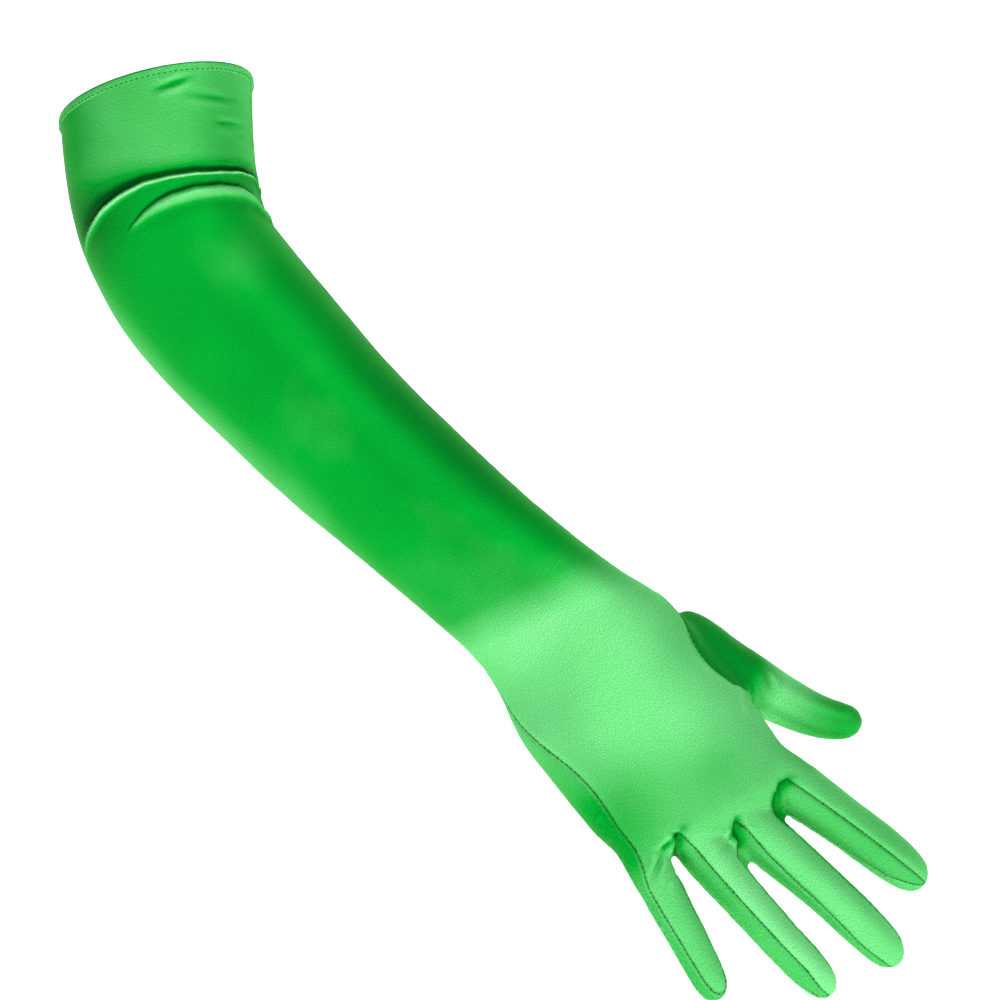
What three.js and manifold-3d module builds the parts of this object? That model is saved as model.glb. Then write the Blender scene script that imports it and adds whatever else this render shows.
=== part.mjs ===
// Long satin glove for the right arm, in the form it has when worn.
// The origin is the centre of the arm opening, the back of the hand faces -Y and the fingers point to +X and down.
import * as THREE from "three";
import { mergeVertices } from "three/addons/utils/BufferGeometryUtils.js";
import Module from "manifold-3d";

const wasm = await Module();
wasm.setup();

// Driving sizes, in millimetres
const sleeveLength = 262; // arm opening to wrist, along the middle
const sleeveWidth = 77; // across the arm opening
const sleeveDepth = 75;
const palmLength = 118; // wrist to the end of the palm
const palmWidth = 88;
const palmDepth = 34;
const thumbLength = 94; // from its root inside the palm
const thumbWidth = 21;
const thumbDepth = 20;
const fingerLength = { index: 102.5, middle: 120, ring: 105.5, little: 75 }; // from their roots inside the palm
const fingerWidth = { index: 20.6, middle: 19.4, ring: 17.6, little: 15.8 };
const clothWall = 1.2;
const seamGap = 0.3;
const hemHeight = 3.5;
const hemExtra = 0.7; // the turned edge is double, so it stands out by this much
const fourchetteWidth = 13;
const foldHeight = 2.4;
const foldWidth = 4.6;

// Driving angles, in degrees
const rimSlope = 13; // the arm opening rises toward the inside of the arm
const rimTilt = 10; // and toward the viewer of the back of the hand
const fingerCurl = 24; // from the knuckles to the longest fingertip

// How finely the curved walls are faceted
const sleeveSides = 22;
const fingerSides = 12;
const thumbSides = 12;
const walkStep = 2;

// at: share of the sleeve length. turn: degrees up from +X. drop: degrees away from the viewer.
// width and depth: shares of the sleeve's. roll: degrees that the little-finger side turns to the viewer.
const sleeveRows = [
  { at: -0.1, turn: -90, drop: 10, width: 1.0, depth: 1.0, roll: -6, square: 2 },
  { at: 0, turn: -89, drop: 10, width: 1.0, depth: 1.0, roll: -6, square: 2 },
  { at: 0.09, turn: -85, drop: 10, width: 0.99, depth: 0.99, roll: -6, square: 2 },
  { at: 0.18, turn: -75, drop: 9, width: 0.98, depth: 0.98, roll: -6, square: 2 },
  { at: 0.25, turn: -62, drop: 6, width: 0.965, depth: 0.97, roll: -6, square: 2 },
  { at: 0.32, turn: -50.5, drop: 1, width: 0.967, depth: 0.94, roll: -6, square: 2 },
  { at: 0.42, turn: -47.8, drop: -3, width: 0.945, depth: 0.9, roll: -6, square: 2 },
  { at: 0.55, turn: -45.5, drop: -4, width: 0.89, depth: 0.83, roll: -6, square: 2 },
  { at: 0.69, turn: -42, drop: -4, width: 0.85, depth: 0.75, roll: -6, square: 2 },
  { at: 0.79, turn: -41, drop: -4, width: 0.82, depth: 0.7, roll: -6, square: 2 },
  { at: 0.92, turn: -40.5, drop: -3, width: 0.81, depth: 0.64, roll: -5, square: 2 },
  { at: 1, turn: -43, drop: -1, width: 0.83, depth: 0.61, roll: -2, square: 2.05 },
];

// at: share of the palm length. width and depth: shares of the palm's. slant: degrees that the section is skewed.
const palmRows = [
  { at: 0.14, turn: -45.5, drop: 0, width: 0.79, depth: 1.22, roll: 3, square: 2.1, slant: 0 },
  { at: 0.26, turn: -48, drop: 0, width: 0.895, depth: 1.1, roll: 11, square: 2.2, slant: 0 },
  { at: 0.38, turn: -51, drop: 0, width: 0.965, depth: 1.04, roll: 18, square: 2.3, slant: 0 },
  { at: 0.5, turn: -51.3, drop: 0, width: 0.99, depth: 1, roll: 22, square: 2.35, slant: 0 },
  { at: 0.7, turn: -51.3, drop: 0, width: 1, depth: 0.97, roll: 23, square: 2.4, slant: 2 },
  { at: 0.84, turn: -51.3, drop: 0, width: 0.98, depth: 0.92, roll: 23, square: 2.4, slant: 7 },
  { at: 0.94, turn: -51.3, drop: 0, width: 0.93, depth: 0.78, roll: 23, square: 2.3, slant: 12 },
  { at: 1, turn: -51.3, drop: 0, width: 0.84, depth: 0.5, roll: 23, square: 2.2, slant: 16 },
];

// across: share of the palm width, to the thumb side. start: share of the palm length, from the knuckles.
// spread: degrees to the thumb side at the root. bend: degrees that it turns further on to the tip.
const knuckles = 0.8;
const fingerRoots = {
  index: { across: 0.298, start: 0.045, spread: 21, bend: 0 },
  middle: { across: 0.032, start: 0.05, spread: 16, bend: 0 },
  ring: { across: -0.151, start: 0.045, spread: 0.5, bend: 15 },
  little: { across: -0.372, start: 0.025, spread: -10, bend: 4 },
};

// at: share of the finger's length. width and depth: shares of its width.
const fingerRows = [
  { at: 0, width: 1.16, depth: 1.12 },
  { at: 0.22, width: 1.14, depth: 1.08 },
  { at: 0.4, width: 1.05, depth: 1 },
  { at: 0.6, width: 1, depth: 0.93 },
  { at: 0.8, width: 0.96, depth: 0.87 },
  { at: 0.9, width: 0.88, depth: 0.78 },
  { at: 0.96, width: 0.7, depth: 0.6 },
  { at: 1, width: 0.1, depth: 0.1 },
];

// The three strips between the fingers, from the thumb side. start: share of the fingers' lengths.
// turn: degrees that the first finger's half is turned round it to the back.
const fourchettePairs = [
  { first: "index", second: "middle", start: 0.19, turn: 37 },
  { first: "middle", second: "ring", start: 0.16, turn: 0 },
  { first: "ring", second: "little", start: 0.1, turn: 22 },
];
// The width is a share of the strip's
const fourchetteRows = [
  { at: 0, width: 1 },
  { at: 0.5, width: 1 },
  { at: 0.8, width: 0.75 },
  { at: 0.93, width: 0.3 },
];

// at: share of the thumb length. width and depth: shares of the thumb's. drop: degrees to the palm side.
const thumbRoot = { along: -0.39, across: 0.322, down: 0.145 }; // from the knuckles, shares of the palm's sizes
const thumbRows = [
  { at: 0, turn: 50, drop: 8, slant: 15, width: 1.4, depth: 0.7 },
  { at: 0.06, turn: 46, drop: 8, slant: 14, width: 1.95, depth: 1.1 },
  { at: 0.14, turn: 40, drop: 8, slant: 13, width: 1.8, depth: 1.35 },
  { at: 0.3, turn: 32, drop: 5, slant: 12, width: 1.32, depth: 1.4 },
  { at: 0.45, turn: 27, drop: 4, slant: 9, width: 1.16, depth: 1.2 },
  { at: 0.58, turn: 25, drop: 2, slant: 6, width: 1.04, depth: 1.06 },
  { at: 0.69, turn: 26, drop: -4, slant: 3, width: 0.95, depth: 0.96 },
  { at: 0.8, turn: 31, drop: -12, slant: -2, width: 0.85, depth: 0.86 },
  { at: 0.885, turn: 39, drop: -18, slant: 2, width: 0.75, depth: 0.74 },
  { at: 0.95, turn: 46, drop: -22, slant: 2, width: 0.6, depth: 0.58 },
  { at: 1, turn: 48, drop: -24, slant: 2, width: 0.1, depth: 0.1 },
];

// The two folds that the bent elbow presses into the sleeve. level: share of the sleeve length, all the way round.
// inward and waist: how much further down it lies on the inner side, and on the inner and outer sides together.
// height: share of the fold height.
const elbowFolds = [
  { level: 0.16, inward: -0.0375, waist: 0.0377, height: 1 },
  { level: 0.207, inward: -0.0066, waist: 0.0313, height: 0.8 },
];
const valley = { above: 1.3, depth: 0.8 }; // shares of the fold width and height

// The value of every column at one share of the length, smooth through the rows
function rowAt(rows, at) {
  let i = 0;
  while (i < rows.length - 2 && at > rows[i + 1].at) i++;
  const before = rows[Math.max(i - 1, 0)];
  const from = rows[i];
  const to = rows[i + 1];
  const after = rows[Math.min(i + 2, rows.length - 1)];
  const span = to.at - from.at;
  const t = (at - from.at) / span;
  const row = {};
  for (const key of Object.keys(from)) {
    const leave = ((to[key] - before[key]) / (to.at - before.at)) * span;
    const arrive = ((after[key] - from[key]) / (after.at - from.at)) * span;
    const bow = from[key] - to[key];
    row[key] = from[key] + t * (leave + t * (-3 * bow - 2 * leave - arrive + t * (2 * bow + leave + arrive)));
  }
  return { ...row, at };
}

function axes(base, row) {
  const turn = THREE.MathUtils.degToRad(row.turn ?? 0);
  const drop = THREE.MathUtils.degToRad(row.drop ?? 0);
  const skew = THREE.MathUtils.degToRad((row.turn ?? 0) - (row.slant ?? 0));
  const roll = THREE.MathUtils.degToRad(row.roll ?? 0);
  const flat = base.along.clone().multiplyScalar(Math.cos(turn)).addScaledVector(base.side, Math.sin(turn));
  const along = flat.clone().multiplyScalar(Math.cos(drop)).addScaledVector(base.back, -Math.sin(drop));
  const ahead = base.along.clone().multiplyScalar(Math.cos(skew)).addScaledVector(base.side, Math.sin(skew));
  const level = base.along.clone().multiplyScalar(-Math.sin(skew)).addScaledVector(base.side, Math.cos(skew));
  const upright = base.back.clone().multiplyScalar(Math.cos(drop)).addScaledVector(ahead, Math.sin(drop));
  const side = level.clone().multiplyScalar(Math.cos(roll)).addScaledVector(upright, -Math.sin(roll));
  const back = upright.clone().multiplyScalar(Math.cos(roll)).addScaledVector(level, Math.sin(roll));
  return { along, side, back };
}

// Stations along a path that leaves the base and follows the rows' directions
function walk(base, length, rows, shares) {
  const place = base.place.clone();
  let done = 0;
  return shares.map((share) => {
    const steps = Math.ceil((Math.abs(share - done) * length) / walkStep);
    const stride = steps ? (share - done) / steps : 0;
    for (let k = 0; k < steps; k++) {
      const row = rowAt(rows, done + stride * (k + 0.5));
      place.addScaledVector(axes(base, row).along, stride * length);
    }
    done = share;
    const row = rowAt(rows, share);
    return { ...row, ...axes(base, row), place: place.clone() };
  });
}

function evenly(from, to, count) {
  return Array.from({ length: count + 1 }, (_, k) => from + ((to - from) * k) / count);
}

function at3(station, across, up) {
  return station.place.clone().addScaledVector(station.side, across).addScaledVector(station.back, up);
}

// A closed solid through one outline for each station, with a point at the middle of each end
function loft(stations, outline) {
  const rings = stations.map((station) => outline(station).map(([across, up]) => at3(station, across, up)));
  const sides = rings[0].length;
  const points = rings.flat();
  const start = points.push(middle(rings[0])) - 1;
  const end = points.push(middle(rings.at(-1))) - 1;
  const triangles = [];
  for (let j = 0; j < sides; j++) {
    const next = (j + 1) % sides;
    for (let i = 0; i < rings.length - 1; i++) {
      const [low, high] = [i * sides, (i + 1) * sides];
      triangles.push(low + j, low + next, high + next, low + j, high + next, high + j);
    }
    const last = (rings.length - 1) * sides;
    triangles.push(start, next, j, end, last + j, last + next);
  }
  return new wasm.Manifold(
    new wasm.Mesh({
      numProp: 3,
      vertProperties: new Float32Array(points.flatMap((p) => p.toArray())),
      triVerts: new Uint32Array(triangles),
    }),
  );
}

function middle(points) {
  return points.reduce((sum, p) => sum.add(p), new THREE.Vector3()).divideScalar(points.length);
}

// A rounded outline, with the cloth moved out by grow and by the folds
function oval(sides, grow, lift = () => 0) {
  const curve = (x, square) => Math.sign(x) * Math.abs(x) ** (2 / square);
  return (station) =>
    evenly(0, 2 * Math.PI, sides).slice(0, -1).map((angle) => {
      const out = grow + lift(station, angle);
      const square = station.square ?? 2;
      return [
        (station.width / 2 + out) * curve(Math.cos(angle), square),
        (station.depth / 2 + out) * curve(Math.sin(angle), square),
      ];
    });
}

function armBase() {
  return {
    place: new THREE.Vector3(0, 0, 0),
    along: new THREE.Vector3(1, 0, 0),
    side: new THREE.Vector3(0, 0, 1),
    back: new THREE.Vector3(0, -1, 0),
  };
}

// The arm and the palm are one path. Its rows have shares of the whole length, with widths in millimetres.
const armLength = sleeveLength + palmLength;
const armRows = [
  ...sleeveRows.map((row) => ({
    ...row,
    at: (row.at * sleeveLength) / armLength,
    width: row.width * sleeveWidth,
    depth: row.depth * sleeveDepth,
    slant: 0,
  })),
  ...palmRows.map((row) => ({
    ...row,
    at: (sleeveLength + row.at * palmLength) / armLength,
    width: row.width * palmWidth,
    depth: row.depth * palmDepth,
  })),
];
const wristShare = sleeveLength / armLength;
const foldsFrom = 0.06;
const foldsTo = 0.3;
const armShares = [
  ...evenly(-0.1 * wristShare, foldsFrom * wristShare, 3),
  ...evenly(foldsFrom * wristShare, foldsTo * wristShare, 14).slice(1),
  ...evenly(foldsTo * wristShare, wristShare, 6).slice(1),
  ...evenly(wristShare, 1, 8).slice(1),
];
const armStations = walk(armBase(), armLength, armRows, armShares);

function foldLift(station, angle) {
  const fromStart = station.at * armLength;
  const outer = (1 - Math.cos(angle)) / 2;
  let height = 0;
  for (const fold of elbowFolds) {
    const ridge = fold.level + fold.inward * Math.cos(angle) + fold.waist * Math.cos(2 * angle);
    const away = (fromStart - ridge * sleeveLength) / foldWidth;
    const fade = 1 - outer ** 3;
    const dip = valley.depth * Math.exp(-((away + valley.above) ** 2));
    height += fold.height * fade * (Math.exp(-away * away) - dip);
  }
  return height * foldHeight;
}

// The palm's plane at the knuckles carries the fingers and the thumb
const [knuckleStation] = walk(armBase(), armLength, armRows, [wristShare + (1 - wristShare) * knuckles]);
const hand = {
  place: knuckleStation.place,
  along: knuckleStation.along,
  side: axes(armBase(), { ...knuckleStation, slant: 0 }).side,
  back: axes(armBase(), { ...knuckleStation, slant: 0 }).back,
};

function placeInHand(along, across, up) {
  return hand.place
    .clone()
    .addScaledVector(hand.along, along)
    .addScaledVector(hand.side, across)
    .addScaledVector(hand.back, up);
}

// The fingers curl evenly, so that they all lie in one bent sheet
const longestReach = Math.max(...Object.values(fingerLength));
function curlAt(alongHand) {
  return (fingerCurl * Math.max(alongHand, 0)) / longestReach;
}

function fingerPath(name, shares) {
  const root = fingerRoots[name];
  const start = root.start * palmLength;
  const length = fingerLength[name];
  const reach = length * Math.cos(THREE.MathUtils.degToRad(root.spread));
  const rows = fingerRows.map((row) => ({
    at: row.at,
    turn: root.spread + root.bend * row.at,
    drop: curlAt(start + reach * row.at),
    width: row.width * fingerWidth[name],
    depth: row.depth * fingerWidth[name],
  }));
  const base = { ...hand, place: placeInHand(start, root.across * palmWidth, 0) };
  return walk(base, length, rows, shares);
}

const fingerShares = [0, 0.18, 0.36, 0.52, 0.68, 0.83, 0.92, 0.97, 1];

function fingerSolid(name, grow) {
  return loft(trimmed(fingerPath(name, fingerShares), grow), oval(fingerSides, grow));
}

// Moves the far end in or out by as much as the walls
function trimmed(stations, grow) {
  const tip = stations.at(-1);
  const place = tip.place.clone().addScaledVector(tip.along, grow);
  const narrow = { width: Math.max(tip.width, -2 * grow + 1), depth: Math.max(tip.depth, -2 * grow + 1) };
  return [...stations.slice(0, -1), { ...tip, ...narrow, place }];
}

function thumbSolid(grow) {
  const rows = thumbRows.map((row) => ({
    ...row,
    width: row.width * thumbWidth,
    depth: row.depth * thumbDepth,
  }));
  const place = placeInHand(
    thumbRoot.along * palmLength,
    thumbRoot.across * palmWidth,
    -thumbRoot.down * palmDepth,
  );
  const shares = [0, 0.06, 0.13, 0.22, 0.34, 0.47, 0.6, 0.72, 0.82, 0.9, 0.95, 0.98, 1];
  return loft(trimmed(walk({ ...hand, place }, thumbLength, rows, shares), grow), oval(thumbSides, grow));
}

// The whole glove without its thumb, moved out by grow
function bodySolid(grow) {
  const arm = loft(trimmed(armStations, grow), oval(sleeveSides, grow, foldLift));
  return Object.keys(fingerLength).reduce((body, name) => body.add(fingerSolid(name, grow)), arm);
}

// Everything on the back side of the seam plane, from a margin outside the cloth.
// Past the knuckles the plane is a curled sheet: from is a share of the way to the palm's end,
// to a share of the longest finger, and width a share of the palm's.
const margin = 9;
const seamSheet = { from: 0.9, to: 1.2, width: 1.5 };
const seamRollRows = [
  { at: 0, roll: 0 },
  { at: 0.3, roll: 8 },
  { at: 0.6, roll: 15 },
  { at: 0.85, roll: 11 },
  { at: 1, roll: 6 },
];

function rolled(station, degrees) {
  const angle = THREE.MathUtils.degToRad(degrees);
  const side = station.side.clone().multiplyScalar(Math.cos(angle)).addScaledVector(station.back, -Math.sin(angle));
  const back = station.back.clone().multiplyScalar(Math.cos(angle)).addScaledVector(station.side, Math.sin(angle));
  return { ...station, side, back };
}

function backSide(raise) {
  const box = (station) => {
    const half = station.width / 2 + margin;
    return [
      [half, raise],
      [half, station.depth + margin],
      [-half, station.depth + margin],
      [-half, raise],
    ];
  };
  const squareRows = armRows.map((row) => ({ ...row, slant: 0 }));
  const arm = walk(armBase(), armLength, squareRows, armShares).map((station) => {
    const inPalm = (station.at - wristShare) / (1 - wristShare);
    return rolled(station, rowAt(seamRollRows, Math.max(inPalm, 0)).roll);
  });
  const sheetRows = evenly(0, seamSheet.to, 12).map((at) => ({
    at,
    turn: 0,
    drop: curlAt(at * longestReach),
    width: palmWidth * seamSheet.width,
    depth: palmDepth,
  }));
  const sheetBase = { ...hand, ...rolled(hand, seamRollRows.at(-1).roll) };
  const sheetStart = (seamSheet.from * (1 - knuckles) * palmLength) / longestReach;
  const sheet = walk(sheetBase, longestReach, sheetRows, evenly(sheetStart, seamSheet.to, 7));
  return loft(arm, box).add(loft(sheet, box));
}

// The block that cuts one side of one finger out of the shell, from a share of its width off the middle
const sideCut = { inset: 0.14, beyond: 3 };

function sideBlock(name, sign, start, turn, grow) {
  const shares = [start, 0.32, 0.48, 0.64, 0.8, 0.93];
  const stations = fingerPath(name, shares).map((station) => rolled(station, turn));
  const last = stations.at(-1);
  last.place.addScaledVector(last.along, grow);
  return loft(stations, (station) => {
    const inner = sign * station.width * sideCut.inset;
    const outer = sign * (station.width / 2 + sideCut.beyond);
    const half = (rowAt(fourchetteRows, station.at).width * fourchetteWidth) / 2 + grow;
    const [low, high] = sign > 0 ? [inner, outer] : [outer, inner];
    return [
      [high, -half],
      [high, half],
      [low, half],
      [low, -half],
    ];
  });
}

function fourchetteBlock({ first, second, start, turn }, grow) {
  return sideBlock(first, -1, start, turn, grow).add(sideBlock(second, 1, start, 0, grow));
}

// A slab between two planes parallel to the arm opening, measured down from it
function rimSlab(from, to) {
  const reach = 2 * (sleeveWidth + sleeveDepth) + 2 * armLength;
  const box = new THREE.BoxGeometry(reach, reach, to - from);
  box.translate(0, 0, -(from + to) / 2);
  box.applyMatrix4(rimTurn());
  box.deleteAttribute("normal");
  box.deleteAttribute("uv");
  const merged = mergeVertices(box);
  return new wasm.Manifold(
    new wasm.Mesh({
      numProp: 3,
      vertProperties: merged.attributes.position.array,
      triVerts: new Uint32Array(merged.index.array),
    }),
  );
}

function rimTurn() {
  const slope = new THREE.Matrix4().makeRotationY(-THREE.MathUtils.degToRad(rimSlope));
  const tilt = new THREE.Matrix4().makeRotationX(-THREE.MathUtils.degToRad(rimTilt));
  return slope.multiply(tilt);
}

function meshOf(name, solid, material) {
  const { vertProperties, triVerts } = solid.getMesh();
  const geometry = new THREE.BufferGeometry();
  geometry.setAttribute("position", new THREE.BufferAttribute(vertProperties, 3));
  geometry.setIndex(new THREE.BufferAttribute(triVerts, 1));
  geometry.computeVertexNormals();
  const mesh = new THREE.Mesh(geometry, material);
  mesh.name = name;
  return mesh;
}

const satin = (color) => new THREE.MeshStandardMaterial({ color, roughness: 0.38, metalness: 0 });

const glove = new THREE.Group();
const outer = bodySolid(0);
const inner = bodySolid(-clothWall);
const thumbInner = thumbSolid(-clothWall);
const belowHem = rimSlab(hemHeight + seamGap, 2 * armLength);
const shell = outer.subtract(inner).subtract(thumbInner).intersect(belowHem);
const blocks = fourchettePairs.map((pair) => fourchetteBlock(pair, 0));
const panels = fourchettePairs.reduce((rest, pair) => rest.subtract(fourchetteBlock(pair, seamGap)), shell);

glove.add(meshOf("back_panel", panels.intersect(backSide(seamGap / 2)), satin(0x2fbb3a)));
glove.add(meshOf("palm_panel", panels.subtract(backSide(-seamGap / 2)), satin(0x1f9a2c)));
fourchettePairs.forEach((pair, k) => {
  const name = ["fourchette", pair.first, pair.second].join("_");
  glove.add(meshOf(name, shell.intersect(blocks[k]), satin(0x37c244)));
});
const thumb = thumbSolid(0).subtract(thumbInner).subtract(bodySolid(seamGap));
glove.add(meshOf("thumb", thumb, satin(0x188a24)));
const hem = bodySolid(hemExtra).subtract(inner).intersect(rimSlab(0, hemHeight));
glove.add(meshOf("top_hem", hem, satin(0x2aad36)));

export default glove;
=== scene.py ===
import bpy
import bmesh
import numpy as np
from math import cos, sin, radians, pi, ceil
from mathutils import Vector, Matrix, noise
from mathutils.kdtree import KDTree


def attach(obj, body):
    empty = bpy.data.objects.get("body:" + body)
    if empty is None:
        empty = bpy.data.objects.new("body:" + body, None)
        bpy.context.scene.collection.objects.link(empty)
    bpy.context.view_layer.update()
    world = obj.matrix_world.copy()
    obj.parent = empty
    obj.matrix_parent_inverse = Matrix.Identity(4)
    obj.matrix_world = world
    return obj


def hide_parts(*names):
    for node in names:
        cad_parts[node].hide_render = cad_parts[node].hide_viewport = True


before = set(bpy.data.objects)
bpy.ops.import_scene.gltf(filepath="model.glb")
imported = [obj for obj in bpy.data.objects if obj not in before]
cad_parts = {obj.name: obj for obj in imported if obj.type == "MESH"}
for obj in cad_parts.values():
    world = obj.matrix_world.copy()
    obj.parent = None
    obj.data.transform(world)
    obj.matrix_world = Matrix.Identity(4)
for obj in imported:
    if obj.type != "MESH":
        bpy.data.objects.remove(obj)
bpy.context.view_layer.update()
mm = 0.001

# The part's own sizes in millimetres, so that each piece lies where its solid does
sizes = dict(
    sleeveLength=262, sleeveWidth=77, sleeveDepth=75,
    palmLength=118, palmWidth=88, palmDepth=34,
    thumbLength=94, thumbWidth=21, thumbDepth=20,
    hemHeight=3.5, rimSlope=13, rimTilt=10, fingerCurl=24, knuckles=0.8,
)
sleeveColumns = ("at", "turn", "drop", "width", "depth", "roll", "square", "slant")
sleeveRows = [
    (-0.1, -90, 10, 1.0, 1.0, -6, 2, 0),
    (0, -89, 10, 1.0, 1.0, -6, 2, 0),
    (0.09, -85, 10, 0.99, 0.99, -6, 2, 0),
    (0.18, -75, 9, 0.98, 0.98, -6, 2, 0),
    (0.25, -62, 6, 0.965, 0.97, -6, 2, 0),
    (0.32, -50.5, 1, 0.967, 0.94, -6, 2, 0),
    (0.42, -47.8, -3, 0.945, 0.9, -6, 2, 0),
    (0.55, -45.5, -4, 0.89, 0.83, -6, 2, 0),
    (0.69, -42, -4, 0.85, 0.75, -6, 2, 0),
    (0.79, -41, -4, 0.82, 0.7, -6, 2, 0),
    (0.92, -40.5, -3, 0.81, 0.64, -5, 2, 0),
    (1, -43, -1, 0.83, 0.61, -2, 2.05, 0),
]
palmRows = [
    (0.14, -45.5, 0, 0.79, 1.22, 3, 2.1, 0),
    (0.26, -48, 0, 0.895, 1.1, 11, 2.2, 0),
    (0.38, -51, 0, 0.965, 1.04, 18, 2.3, 0),
    (0.5, -51.3, 0, 0.99, 1, 22, 2.35, 0),
    (0.7, -51.3, 0, 1, 0.97, 23, 2.4, 2),
    (0.84, -51.3, 0, 0.98, 0.92, 23, 2.4, 7),
    (0.94, -51.3, 0, 0.93, 0.78, 23, 2.3, 12),
    (1, -51.3, 0, 0.84, 0.5, 23, 2.2, 16),
]
fingers = {
    "index": dict(length=102.5, width=20.6, across=0.298, start=0.045, spread=21, bend=0),
    "middle": dict(length=119.2, width=19.4, across=0.032, start=0.05, spread=16, bend=0),
    "ring": dict(length=105.5, width=17.6, across=-0.151, start=0.045, spread=0.5, bend=15),
    "little": dict(length=75, width=15.8, across=-0.372, start=0.025, spread=-10, bend=4),
}
fingerRows = [
    (0, 1.16, 1.12), (0.22, 1.14, 1.08), (0.4, 1.05, 1), (0.6, 1, 0.93),
    (0.8, 0.96, 0.87), (0.9, 0.88, 0.78), (0.955, 0.73, 0.63), (0.98, 0.54, 0.48),
    (0.993, 0.32, 0.3), (1, 0.06, 0.06),
]
thumbRoot = dict(along=-0.39, across=0.322, down=0.145)
thumbColumns = ("at", "turn", "drop", "slant", "width", "depth")
thumbRows = [
    (0, 50, 8, 15, 1.3, 0.7), (0.06, 46, 8, 14, 1.86, 1.1), (0.14, 40, 8, 13, 1.78, 1.35),
    (0.3, 32, 5, 12, 1.32, 1.4), (0.45, 27, 4, 9, 1.16, 1.2), (0.58, 25, 2, 6, 1.04, 1.06),
    (0.69, 26, -4, 3, 0.95, 0.96), (0.8, 31, -12, -2, 0.85, 0.86), (0.885, 39, -18, 2, 0.77, 0.76),
    (0.94, 45, -22, 2, 0.68, 0.66), (0.975, 47, -23, 2, 0.5, 0.48), (0.992, 48, -24, 2, 0.3, 0.28),
    (1, 48, -24, 2, 0.06, 0.06),
]


# Smooth paths through the rows

def named(columns, rows):
    return [dict(zip(columns, row)) for row in rows]


def rowAt(rows, at):
    i = 0
    while i < len(rows) - 2 and at > rows[i + 1]["at"]:
        i += 1
    before, here = rows[max(i - 1, 0)], rows[i]
    to, after = rows[i + 1], rows[min(i + 2, len(rows) - 1)]
    span = to["at"] - here["at"]
    t = (at - here["at"]) / span
    found = {}
    for key in here:
        leave = (to[key] - before[key]) / (to["at"] - before["at"]) * span
        arrive = (after[key] - here[key]) / (after["at"] - here["at"]) * span
        bow = here[key] - to[key]
        found[key] = here[key] + t * (leave + t * (-3 * bow - 2 * leave - arrive + t * (2 * bow + leave + arrive)))
    found["at"] = at
    return found


def axesOf(base, row):
    turn, drop = radians(row.get("turn", 0)), radians(row.get("drop", 0))
    skew = radians(row.get("turn", 0) - row.get("slant", 0))
    roll = radians(row.get("roll", 0))
    flat = base["along"] * cos(turn) + base["side"] * sin(turn)
    along = flat * cos(drop) - base["back"] * sin(drop)
    ahead = base["along"] * cos(skew) + base["side"] * sin(skew)
    level = base["side"] * cos(skew) - base["along"] * sin(skew)
    upright = base["back"] * cos(drop) + ahead * sin(drop)
    return dict(
        along=along,
        side=level * cos(roll) - upright * sin(roll),
        back=upright * cos(roll) + level * sin(roll),
    )


def walk(base, length, rows, shares):
    place, done, stations = base["place"].copy(), 0, []
    for share in shares:
        steps = ceil(abs(share - done) * length / 2)
        for k in range(steps):
            middle = done + (share - done) * (k + 0.5) / steps
            place = place + axesOf(base, rowAt(rows, middle))["along"] * ((share - done) / steps * length)
        done = share
        row = rowAt(rows, share)
        stations.append({**row, **axesOf(base, row), "place": place.copy()})
    return stations


def evenly(start, end, count):
    return [start + (end - start) * k / count for k in range(count + 1)]


armBase = dict(place=Vector((0, 0, 0)), along=Vector((1, 0, 0)), side=Vector((0, 0, 1)), back=Vector((0, -1, 0)))
armLength = sizes["sleeveLength"] + sizes["palmLength"]
wristShare = sizes["sleeveLength"] / armLength
armRows = []
for row in named(sleeveColumns, sleeveRows):
    armRows.append({**row, "at": row["at"] * wristShare,
                    "width": row["width"] * sizes["sleeveWidth"], "depth": row["depth"] * sizes["sleeveDepth"]})
for row in named(sleeveColumns, palmRows):
    armRows.append({**row, "at": wristShare + row["at"] * (1 - wristShare),
                    "width": row["width"] * sizes["palmWidth"], "depth": row["depth"] * sizes["palmDepth"]})
squareRows = [{**row, "slant": 0} for row in armRows]
knuckle = walk(armBase, armLength, squareRows, [wristShare + (1 - wristShare) * sizes["knuckles"]])[0]
hand = {key: knuckle[key] for key in ("place", "along", "side", "back")}


def placeInHand(along, across, up):
    return hand["place"] + hand["along"] * along + hand["side"] * across + hand["back"] * up


longestReach = max(finger["length"] for finger in fingers.values())


def curlAt(alongHand):
    return sizes["fingerCurl"] * max(alongHand, 0) / longestReach


def fingerPath(name, shares):
    root = fingers[name]
    start = root["start"] * sizes["palmLength"]
    reach = root["length"] * cos(radians(root["spread"]))
    rows = [dict(at=at, turn=root["spread"] + root["bend"] * at, drop=curlAt(start + reach * at),
                 width=width * root["width"], depth=depth * root["width"]) for at, width, depth in fingerRows]
    base = {**hand, "place": placeInHand(start, root["across"] * sizes["palmWidth"], 0)}
    return walk(base, root["length"], rows, shares)


def thumbPath(shares):
    rows = [{**row, "width": row["width"] * sizes["thumbWidth"], "depth": row["depth"] * sizes["thumbDepth"]}
            for row in named(thumbColumns, thumbRows)]
    place = placeInHand(thumbRoot["along"] * sizes["palmLength"], thumbRoot["across"] * sizes["palmWidth"],
                        -thumbRoot["down"] * sizes["palmDepth"])
    return walk({**hand, "place": place}, sizes["thumbLength"], rows, shares)


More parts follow.
